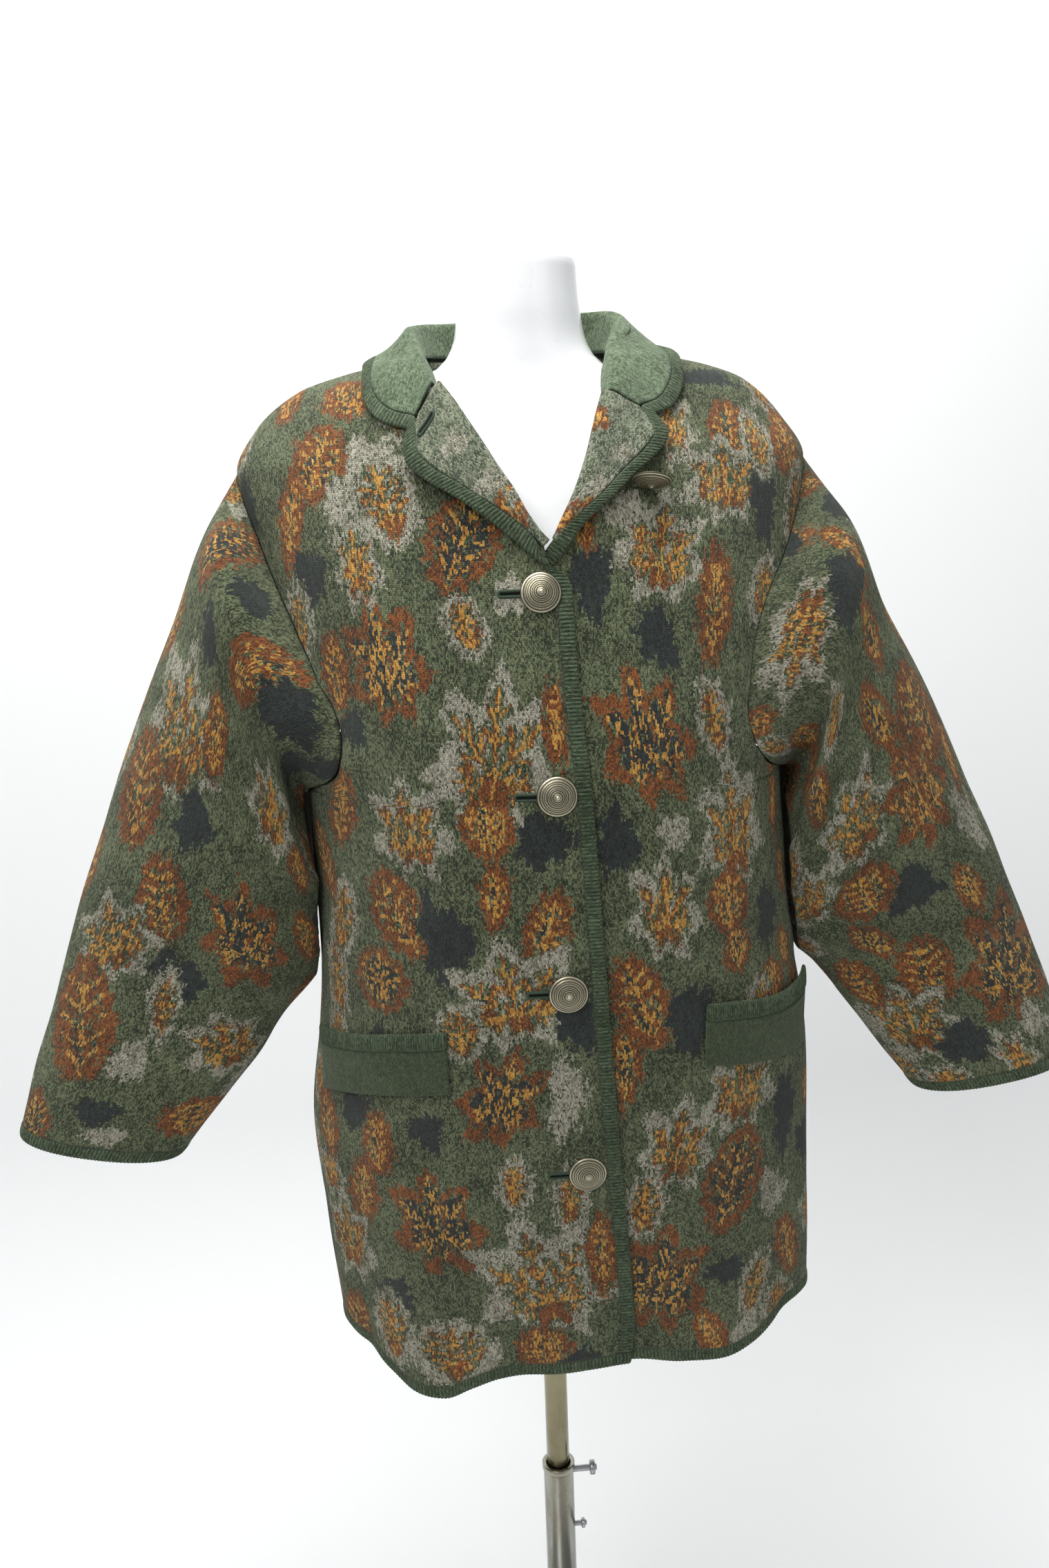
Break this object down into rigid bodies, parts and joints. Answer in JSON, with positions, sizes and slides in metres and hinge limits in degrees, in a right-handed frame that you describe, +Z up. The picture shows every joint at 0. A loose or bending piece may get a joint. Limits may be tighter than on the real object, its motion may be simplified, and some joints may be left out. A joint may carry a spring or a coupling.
{
  "type": "boiled-wool cardigan on a limbless dress form and stand",
  "caption": "Buttoned boiled-wool leaf jacquard cardigan with lapels, collar and welt pockets, worn by a limbless dress form on a clamped tube stand with a round base.",
  "frame": {"origin": "on the floor, at the centre of the base's underside, on the pole's axis", "axes": "+Z up, -Y to the front of the garment, +X to the wearer's left"},
  "size_m": [0.8966, 0.34, 1.47],
  "materials": {
    "leaf_jacquard": "fulled wool jacquard, green ground with rust, gold, grey and navy leaves",
    "plain_wool": "plain fulled wool, dark green heather",
    "rib_knit": "ribbed knitted band, dark green",
    "button_metal": "cast metal with an antique silver finish",
    "form_gloss": "glossy white moulding",
    "pole_chrome": "worn chromed tube",
    "stand_steel": "satin plated steel"
  },
  "bodies": {
    "root": {"right_front": "leaf_jacquard", "left_front": "leaf_jacquard", "back_panel": "leaf_jacquard", "right_hem_band": "rib_knit", "left_hem_band": "rib_knit", "back_hem_band": "rib_knit", "right_front_band": "rib_knit", "right_lapel": "leaf_jacquard", "left_lapel": "leaf_jacquard", "right_lapel_band": "rib_knit", "left_lapel_band": "rib_knit", "collar": "plain_wool", "collar_band": "rib_knit", "right_sleeve": "leaf_jacquard", "right_cuff_band": "rib_knit", "left_sleeve": "leaf_jacquard", "left_cuff_band": "rib_knit", "right_pocket_welt": "plain_wool", "left_pocket_welt": "plain_wool", "button_1": "button_metal", "button_2": "button_metal", "button_3": "button_metal", "button_4": "button_metal", "button_top": "button_metal", "form_torso": "form_gloss", "pole_upper": "pole_chrome", "pole_lower": "pole_chrome", "clamp_screw_upper": "stand_steel", "clamp_screw_lower": "stand_steel", "base_plate": "stand_steel"}
  },
  "joints": []
}
